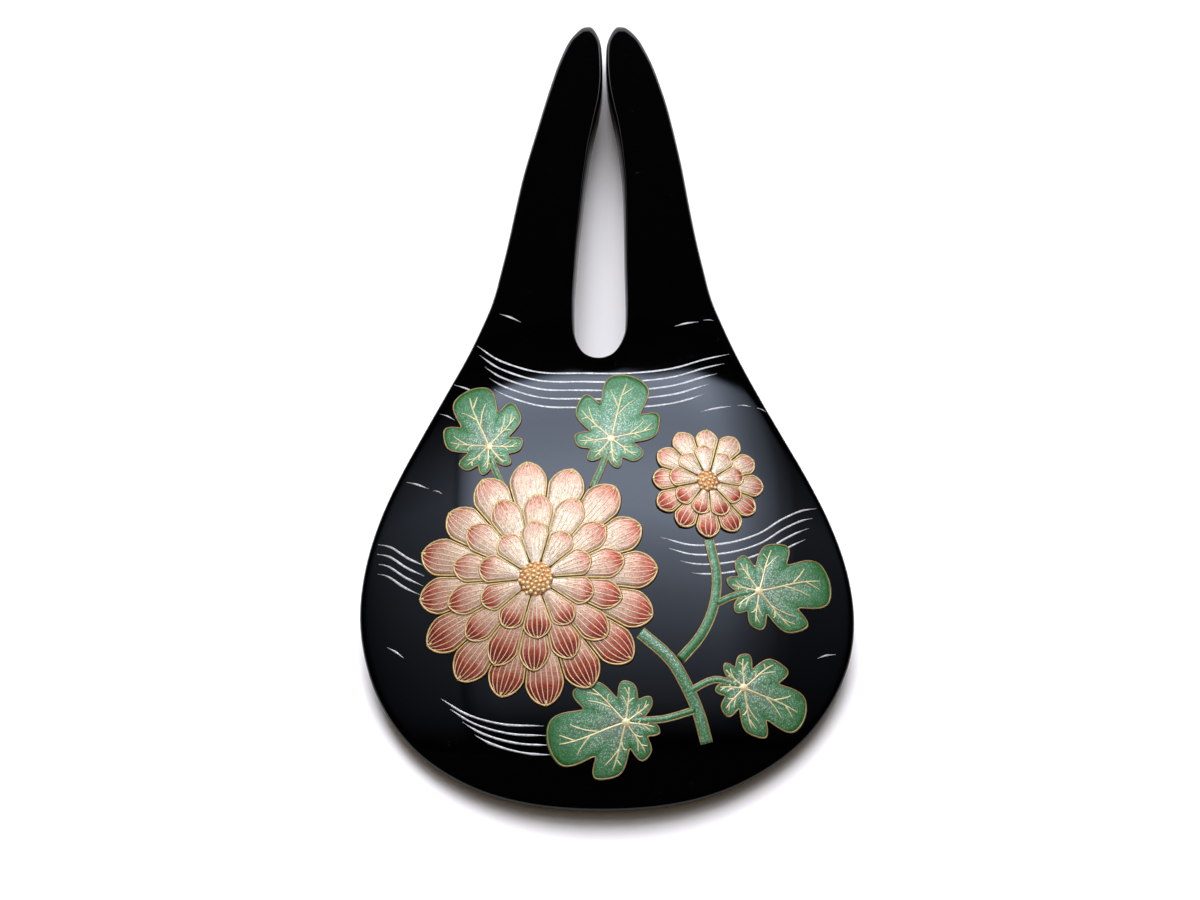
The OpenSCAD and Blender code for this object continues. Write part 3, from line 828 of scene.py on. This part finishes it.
class Surface(Nodes):
    """A material under construction: its node tree and its Principled shader."""

    def __init__(self, name, **sockets):
        self.material = bpy.data.materials.new(name)
        self.material.use_nodes = True
        super().__init__(self.material.node_tree)
        self.shader = self.tree.nodes["Principled BSDF"]
        for key, value in sockets.items():
            self.shader.inputs[key.replace("_", " ")].default_value = value

    def set(self, key, value):
        self.join(value, self.shader.inputs[key])

    def attribute(self, name):
        return self.add("Attribute", attribute_name=name).outputs["Fac"]

    def place(self):
        return self.add("TexCoord").outputs["Object"]

    def noise(self, size, detail=3.0):
        """Noise whose features are about size millimetres across."""
        inputs = {"Vector": self.place(), "Scale": 1 / (size * MM), "Detail": detail}
        return self.add("TexNoise", inputs).outputs["Fac"]

    def mosaic(self, size):
        """Random values of cells about size millimetres across, and distance from their middles."""
        node = self.add("TexVoronoi", {"Vector": self.place(), "Scale": 1 / (size * MM)})
        values = self.add("SeparateColor", {"Color": node.outputs["Color"]}).outputs
        return values, node.outputs["Distance"]

    def cells(self, size):
        """A random value from 0 to 1 in each cell."""
        return self.mosaic(size)[0]["Red"]

    def flecks(self, size, share):
        """Soft round flecks about size millimetres apart, of which only a share is there."""
        values, distance = self.mosaic(size)
        there = self.math("LESS_THAN", values["Green"], share)
        return self.math("MULTIPLY", there, self.slope(distance, *FLECK_FADE, 1.0, 0.0))

    def ramp(self, value, stops):
        """A grey or a colour that follows a short list of (place, grey or colour)."""
        node = self.add("ValToRGB", {"Fac": value})
        band = node.color_ramp
        while len(band.elements) < len(stops):
            band.elements.new(1.0)
        for element, (position, colour) in zip(band.elements, stops):
            element.position = position
            element.color = (*colour, 1) if isinstance(colour, tuple) else (colour, colour, colour, 1)
        return node.outputs["Color"]

    def shade(self, colour, value, stops):
        """The colour times a ramp of the value."""
        return self.mix(1.0, colour, self.ramp(value, stops), "MULTIPLY")

    def drift(self, value, by, amount):
        """The value, shifted by up to half the amount either way as by runs from 0 to 1."""
        return self.math("ADD", value, self.math("MULTIPLY", self.math("SUBTRACT", by, 0.5), amount))

    def slope(self, value, start, end, low=0.0, high=1.0):
        """A smooth step from low to high as the value goes from start to end."""
        inputs = {"Value": value, "From Min": start, "From Max": end, "To Min": low, "To Max": high}
        return self.add("MapRange", inputs, interpolation_type="SMOOTHSTEP").outputs["Result"]

    def profile(self, value, levels):
        """A level that follows a short table of (place, level)."""
        first, last = levels[0][0], levels[-1][0]
        most = max(level for _, level in levels)
        run = self.add("MapRange", {"Value": value, "From Min": first, "From Max": last})
        stops = [((at - first) / (last - first), level / most) for at, level in levels]
        return self.math("MULTIPLY", self.ramp(run.outputs["Result"], stops), most)

    def bump(self, height, depth, **more):
        """Bump whose full height is depth millimetres."""
        inputs = {"Height": height, "Distance": depth * MM, **more}
        return self.add("Bump", inputs).outputs["Normal"]

    def powder(self, grain, matt, bright, height, depth):
        """Roughness from matt to bright as the grain goes from 0 to 1, and a bump of that depth."""
        self.set("Roughness", self.ramp(grain, [(0.0, matt), (1.0, bright)]))
        self.set("Normal", self.bump(height, depth))


# Lacquer: its black, and specks of dust: spots in a few of the cells
LACQUER = (0.0004, 0.0004, 0.0005)
DUST = (0.02, 0.02, 0.021)
DUST_CELL, DUST_SPOT = 0.55, 0.12
DUST_SHARE = [(0.0, 0.0), (0.992, 0.0), (1.0, 0.7)]
DUST_EDGE = [(0.0, 0.0), (0.66, 0.0), (0.72, 1.0)]
DUST_ROUGHNESS = 0.4
# Smears of the polish and their roughness, and the size and depth of long and of short waves
SMEAR = 14
SMEAR_ROUGHNESS = [(0.3, 0.03), (0.7, 0.055)]
LONG_WAVE, LONG_DEPTH = 9, 0.012
SHORT_WAVE, SHORT_DEPTH = 1.6, 0.0006


def lacquer_material():
    """Black lacquer polished to a mirror gloss, with faint waves and a little dust."""
    m = Surface("black_lacquer", IOR=1.5)
    dust = m.ramp(m.cells(DUST_CELL), DUST_SHARE)
    spot = m.ramp(m.noise(DUST_SPOT, detail=0), DUST_EDGE)
    specks = m.math("MULTIPLY", dust, spot)
    m.set("Base Color", m.mix(specks, LACQUER, DUST))
    smear = m.ramp(m.noise(SMEAR), SMEAR_ROUGHNESS)
    m.set("Roughness", m.math("ADD", smear, m.math("MULTIPLY", specks, DUST_ROUGHNESS)))
    waves = m.bump(m.noise(LONG_WAVE, detail=1), LONG_DEPTH)
    m.set("Normal", m.bump(m.noise(SHORT_WAVE, detail=2), SHORT_DEPTH, Normal=waves))
    return m.material


# Painted shade: the dark brown of the skirts under the edges of petals, leaves and stems, where they lie
# over the lacquer or a lower petal
PAINTED_SHADE_COLOUR = (0.05, 0.022, 0.01)
# Petals from root to tip, and what petals of a high tone are multiplied by: painted shade, darker
# towards the blade's end
PETAL_COLOURS = [(0.0, (0.74, 0.58, 0.42)), (0.5, (0.68, 0.48, 0.34)), (0.72, (0.60, 0.29, 0.20)),
                 (0.88, (0.42, 0.06, 0.028)), (1.0, (0.24, 0.014, 0.006))]
PETAL_PAINTED_SHADE = [(0.0, 1.0), (1.0, (0.84, 0.73, 0.67))]
# How far the tone shifts a petal's colours towards the red tip: random play, and painted shade that
# reddens the petals towards the blade's end
PETAL_TONE_AND_SHADE_DRIFT = 0.34
PETAL_CLOUD, PETAL_CLOUD_DRIFT = 1.4, 0.3
# Grains of powder, the cells of their bump, how dark and bright they are, and flecks: their
# colour, spacing, the share that is there, and how much they show from root to tip
PETAL_GRAIN, PETAL_ROUGH_CELL = 0.1, 0.11
PETAL_GRAINS = [(0.0, 0.55), (0.6, 1.0), (1.0, 1.35)]
PETAL_FLECK = (0.92, 0.78, 0.58)
PETAL_FLECKS, PETAL_FLECKS_SHOW = (0.15, 0.7), [(0.4, 0.8), (0.85, 0.12)]


def petal_material():
    """Raised lacquer dusted with powder: silvery cream at the root, pink, then red at the tip."""
    m = Surface("pink_petal", Metallic=0.6, IOR=1.5)
    # The tone holds a random play and painted shade: petals towards the blade's end come out redder and
    # darker
    tone = m.attribute("tone")
    shift = m.drift(m.attribute("along"), tone, PETAL_TONE_AND_SHADE_DRIFT)
    shift = m.drift(shift, m.noise(PETAL_CLOUD), PETAL_CLOUD_DRIFT)
    colour = m.shade(m.ramp(shift, PETAL_COLOURS), tone, PETAL_PAINTED_SHADE)
    grain = m.cells(PETAL_GRAIN)
    colour = m.shade(colour, grain, PETAL_GRAINS)
    fleck = m.math("MULTIPLY", m.flecks(*PETAL_FLECKS), m.ramp(shift, PETAL_FLECKS_SHOW))
    colour = m.mix(fleck, colour, PETAL_FLECK)
    # Painted shade on the marked skirts
    m.set("Base Color", m.mix(m.attribute("seam"), colour, PAINTED_SHADE_COLOUR))
    m.powder(grain, matt=0.48, bright=0.3, height=m.cells(PETAL_ROUGH_CELL), depth=0.01)
    return m.material


# Leaves, in the same way, from heart to edge. Their flecks are of two pale colours
LEAF_COLOURS = [(0.0, (0.16, 0.185, 0.14)), (0.35, (0.125, 0.21, 0.12)), (0.7, (0.055, 0.185, 0.07)),
                (1.0, (0.014, 0.12, 0.016))]
LEAF_CLOUD, LEAF_CLOUD_DRIFT = 2.6, 0.6
LEAF_TONE_DRIFT = 0.25
LEAF_GRAIN, LEAF_ROUGH_CELL = 0.11, 0.12
LEAF_GRAINS = [(0.0, 0.6), (0.6, 1.0), (1.0, 1.6)]
LEAF_FLECK_CELL, LEAF_FLECK_COLOURS = 0.31, [(0.0, (0.46, 0.74, 0.40)), (1.0, (0.64, 0.76, 0.70))]
LEAF_FLECKS, LEAF_FLECKS_SHOW = (0.2, 0.75), [(0.0, 1.0), (0.5, 0.9), (0.95, 0.15)]


def leaf_material():
    """Raised lacquer dusted with powder: grey-green at the heart, then emerald at the edge."""
    m = Surface("green_leaf", Metallic=0.2, IOR=1.8)
    shift = m.drift(m.attribute("along"), m.noise(LEAF_CLOUD), LEAF_CLOUD_DRIFT)
    shift = m.drift(shift, m.attribute("tone"), LEAF_TONE_DRIFT)
    grain = m.cells(LEAF_GRAIN)
    colour = m.shade(m.ramp(shift, LEAF_COLOURS), grain, LEAF_GRAINS)
    fleck = m.math("MULTIPLY", m.flecks(*LEAF_FLECKS), m.ramp(shift, LEAF_FLECKS_SHOW))
    colour = m.mix(fleck, colour, m.ramp(m.cells(LEAF_FLECK_CELL), LEAF_FLECK_COLOURS))
    # Painted shade on the marked skirts
    m.set("Base Color", m.mix(m.attribute("seam"), colour, PAINTED_SHADE_COLOUR))
    m.powder(grain, matt=0.48, bright=0.3, height=m.cells(LEAF_ROUGH_CELL), depth=0.01)
    return m.material


# Powders of the raised lines: fresh colour and worn colour
POWDERS = {
    "gold_line": ((0.80, 0.62, 0.26), (0.48, 0.30, 0.09)),
    "leaf_edge_gold": ((0.44, 0.30, 0.11), (0.20, 0.10, 0.03)),
    "cream_vein": ((0.90, 0.72, 0.44), (0.74, 0.50, 0.26)),
    "pale_gold_vein": ((0.86, 0.76, 0.42), (0.70, 0.54, 0.24)),
    "gold_seed": ((0.88, 0.72, 0.40), (0.80, 0.50, 0.18))}
LINE_GRAIN = 0.09
# Size of the worn places, where they lie in the noise, and how far they wear
WEAR_SIZE, WEAR_STOPS, WEAR = 0.7, [(0.35, 0.0), (0.75, 1.0)], 0.7


def powder_line_material(name, colour, worn_colour):
    """A raised line of metal powder, burnished satin and worn in places."""
    m = Surface(name, Metallic=0.35, IOR=1.8)
    grain = m.cells(LINE_GRAIN)
    worn = m.math("MULTIPLY", m.ramp(m.noise(WEAR_SIZE), WEAR_STOPS), WEAR)
    m.set("Base Color", m.mix(worn, colour, worn_colour))
    m.powder(grain, matt=0.45, bright=0.28, height=grain, depth=0.006)
    return m.material


GROUND_GRAIN = 0.12
GROUND_COLOURS = [(0.0, (0.30, 0.07, 0.02)), (0.6, (0.62, 0.22, 0.05)), (1.0, (0.85, 0.5, 0.2))]


def seed_ground_material():
    """The orange-red ground between the seeds."""
    m = Surface("seed_ground", Metallic=0.4, IOR=1.5)
    grain = m.cells(GROUND_GRAIN)
    m.set("Base Color", m.ramp(grain, GROUND_COLOURS))
    m.powder(grain, matt=0.5, bright=0.35, height=grain, depth=0.01)
    return m.material


SILVER = (0.74, 0.72, 0.69)
# Where the powder of the silver lines is thin, in the noise, and its grains and how bright they are
SILVER_PATCH, SILVER_THIN = 0.35, [(0.35, 1.0), (0.62, 0.72), (0.8, 0.5)]
SILVER_GRAIN, SILVER_GRAINS = 0.1, [(0.0, 0.7), (1.0, 1.2)]


def silver_material():
    """Thin lines of silver powder, brushed on and a little dull."""
    m = Surface("silver_line", Metallic=0.5, IOR=1.5)
    grain = m.cells(SILVER_GRAIN)
    colour = m.shade(SILVER, m.noise(SILVER_PATCH), SILVER_THIN)
    m.set("Base Color", m.shade(colour, grain, SILVER_GRAINS))
    m.powder(grain, matt=0.5, bright=0.35, height=grain, depth=0.005)
    return m.material


# The camera: the point on the floor that it looks at, its distance and height, its lens, and the
# nearest and farthest that it sees
TARGET = (-0.6, -10.4, 0.0)
DISTANCE = 300.0
ELEVATION = math.radians(60)
LENS, SENSOR = 64.8, 36.0
NEAREST, FARTHEST = 10.0, 20000.0


def camera():
    """The camera at the photograph's angle, looking down on the pin from the blade's side."""
    back = np.array([0, -math.cos(ELEVATION), math.sin(ELEVATION)])
    data = bpy.data.cameras.new("camera")
    data.lens, data.sensor_width, data.sensor_fit = LENS, SENSOR, "HORIZONTAL"
    data.clip_start, data.clip_end = NEAREST * MM, FARTHEST * MM
    eye = scene_object("camera", data)
    eye.location = (np.array(TARGET) + DISTANCE * back) * MM
    eye.rotation_euler = (math.pi / 2 - ELEVATION, 0, 0)
    bpy.context.scene.camera = eye


# The floor: half its side, how pale it is to the eye, with faint clouds, and in the gloss
FLOOR_HALF = 3000.0
FLOOR_CLOUD = 60
FLOOR_PALE = [(0.3, (0.93, 0.925, 0.93)), (0.7, (0.915, 0.91, 0.915))]
MIRRORED_FLOOR = 0.45


def floor():
    """A plain pale floor, dimmer in the gloss, or its mirror image would be a bright line there."""
    m = Surface("pale_floor", Roughness=0.9, Specular_IOR_Level=0.1)
    mirrored = m.add("LightPath").outputs["Is Glossy Ray"]
    pale = m.ramp(m.noise(FLOOR_CLOUD), FLOOR_PALE)
    m.set("Base Color", m.mix(mirrored, pale, (MIRRORED_FLOOR,) * 3))
    h = FLOOR_HALF
    corners = [(-h, -h, 0), (h, -h, 0), (h, h, 0), (-h, h, 0)]
    mesh_object("floor", corners, [(0, 1, 2, 3)], m.material)


# What the lacquer mirrors: a panel over the pin, seen by gloss alone. Its sizes, and how its
# glow changes across it and along it, in millimetres and in parts of white
PANEL_Z = 500.0
PANEL_X = (-900.0, 900.0)
PANEL_Y = (-260.0, 330.0)
PANEL_TINT = (0.83, 0.955, 1.21, 1)
# Glow from the camera's side to the far edge
SOFTBOX_DEEP = [
    (-240, 0.0), (-215, 0.12), (-188, 0.33), (-160, 0.46), (-110, 0.9), (-60, 1.6), (-10, 2.75), (40, 4.5),
    (80, 4.7), (100, 4.5), (130, 4.0), (160, 3.8), (185, 4.1), (205, 4.8), (230, 5.7)]
# Parts of that glow from left to right
SOFTBOX_ACROSS = [
    (-302, 0.0), (-290, 0.3), (-264, 0.66), (-240, 0.78), (-215, 1.0), (225, 1.0), (254, 0.9), (278, 0.7),
    (303, 0.51), (330, 0.35), (357, 0.23), (387, 0.08), (430, 0.0)]
# The dim room beside the softbox, from the camera's side to the far edge, and from left to right
ROOM_DEEP = [
    (-250, 0.0), (-215, 0.1), (-185, 0.16), (-157, 0.2), (-104, 0.29), (-51, 0.42), (2, 0.52), (57, 0.68),
    (85, 0.72), (120, 0.5), (170, 0.25), (235, 0.0)]
ROOM_ACROSS = [
    (-800, 0.0), (-640, 0.15), (-587, 0.3), (-541, 0.42), (-464, 0.62), (-400, 0.78), (-314, 1.0),
    (-290, 0.0), (300, 0.0), (410, 0.36), (620, 0.28), (800, 0.0)]
# The far edge: y on the left and on the right, the x between which it steps, and half its softness
FAR_EDGE = (226.0, 247.0)
FAR_EDGE_STEP, FAR_EDGE_SOFT = (72.0, 200.0), 9.0
# How the right edge curves in towards the far one: from what y on, and how much
CORNER_FROM, CORNER_CURVE = 100.0, 0.0033


def softbox():
    """The softbox that the lacquer mirrors, and the dim room beside it."""
    m = Surface("softbox")
    place = m.add("SeparateXYZ", {"Vector": m.place()}).outputs
    x, y = m.math("DIVIDE", place["X"], MM), m.math("DIVIDE", place["Y"], MM)
    past = m.math("MAXIMUM", m.math("SUBTRACT", y, CORNER_FROM), 0.0)
    bend = m.math("MULTIPLY", m.math("POWER", past, 2.0), CORNER_CURVE)
    bent = m.math("ADD", x, m.math("MULTIPLY", bend, m.math("GREATER_THAN", x, 0.0)))
    edge = m.slope(x, *FAR_EDGE_STEP, *FAR_EDGE)
    inside = m.slope(m.math("SUBTRACT", edge, y), -FAR_EDGE_SOFT, FAR_EDGE_SOFT)
    box = m.math("MULTIPLY", m.profile(bent, SOFTBOX_ACROSS), m.profile(y, SOFTBOX_DEEP))
    room = m.math("MULTIPLY", m.profile(x, ROOM_ACROSS), m.profile(y, ROOM_DEEP))
    glow = m.math("ADD", m.math("MULTIPLY", box, inside), room)
    lamp = m.add("Emission", {"Color": PANEL_TINT, "Strength": glow})
    m.tree.links.new(lamp.outputs[0], m.tree.nodes["Material Output"].inputs["Surface"])
    (left, right), (near, far), z = PANEL_X, PANEL_Y, PANEL_Z
    corners = [(left, near, z), (left, far, z), (right, far, z), (right, near, z)]
    panel = mesh_object("softbox", corners, [(0, 1, 2, 3)], m.material)
    panel.visible_camera = panel.visible_diffuse = panel.visible_shadow = False


# A tall soft light beyond the prongs and a weak one overhead, kept out of the mirror gloss:
# strength, and apparent size, height above the floor and turn to the left in degrees
LAMPS = {"beyond_low": (2.1, 35, 40, 9), "beyond_middle": (2.0, 35, 58, 0),
         "beyond_high": (0.9, 35, 74, 0), "overhead": (0.4, 60, 84, 0)}
LAMP_TINT = (0.975, 0.98, 1.05)
# The room: what the eye sees past the floor, the warm dim light in the shade, and its mirror image
BACKDROP = (0.93, 0.93, 0.94)
SHADE, SHADE_TINT = 0.1, (1.0, 0.72, 0.38)
MIRRORED_ROOM = 0.008


def daylight():
    """The lamps, as distant soft lights."""
    for name, (strength, size, height, turn) in LAMPS.items():
        data = bpy.data.lights.new(name, "SUN")
        data.energy, data.angle, data.color = strength, math.radians(size), LAMP_TINT
        lamp = scene_object(name, data)
        lamp.rotation_euler = (math.radians(height - 90), 0, math.radians(turn))
        lamp.visible_glossy = False


def surroundings():
    """A pale studio for the eye, a warm dim one for shaded places and a dark one for the gloss."""
    world = bpy.data.worlds.new("studio")
    world.use_nodes = True
    bpy.context.scene.world = world
    m = Nodes(world.node_tree)
    path = m.add("LightPath").outputs
    dim = m.mix(path["Is Glossy Ray"], tuple(SHADE * c for c in SHADE_TINT), (MIRRORED_ROOM,) * 3)
    colour = m.mix(path["Is Camera Ray"], dim, BACKDROP)
    m.join(colour, m.tree.nodes["Background"].inputs["Color"])


def main():
    rng = random.Random(SEED)
    petal, leaf = petal_material(), leaf_material()
    powders = [powder_line_material(name, *colours) for name, colours in POWDERS.items()]
    gold, edge_gold, cream, leaf_gold, seed_gold = powders
    ground, silver = seed_ground_material(), silver_material()
    body_mesh(lacquer_material())
    for name, shape in FLOWERS.items():
        flower(name, shape, petal, gold, cream, rng)
    for name, shape in FLOWERS.items():
        flower_centre(name, shape, ground, seed_gold, rng)
    leaves(leaf, edge_gold, leaf_gold, rng)
    stems(leaf, edge_gold, rng)
    streams(silver, rng)
    floor()
    softbox()
    daylight()
    surroundings()
    camera()
    bpy.context.scene.view_settings.view_transform = "Standard"


main()
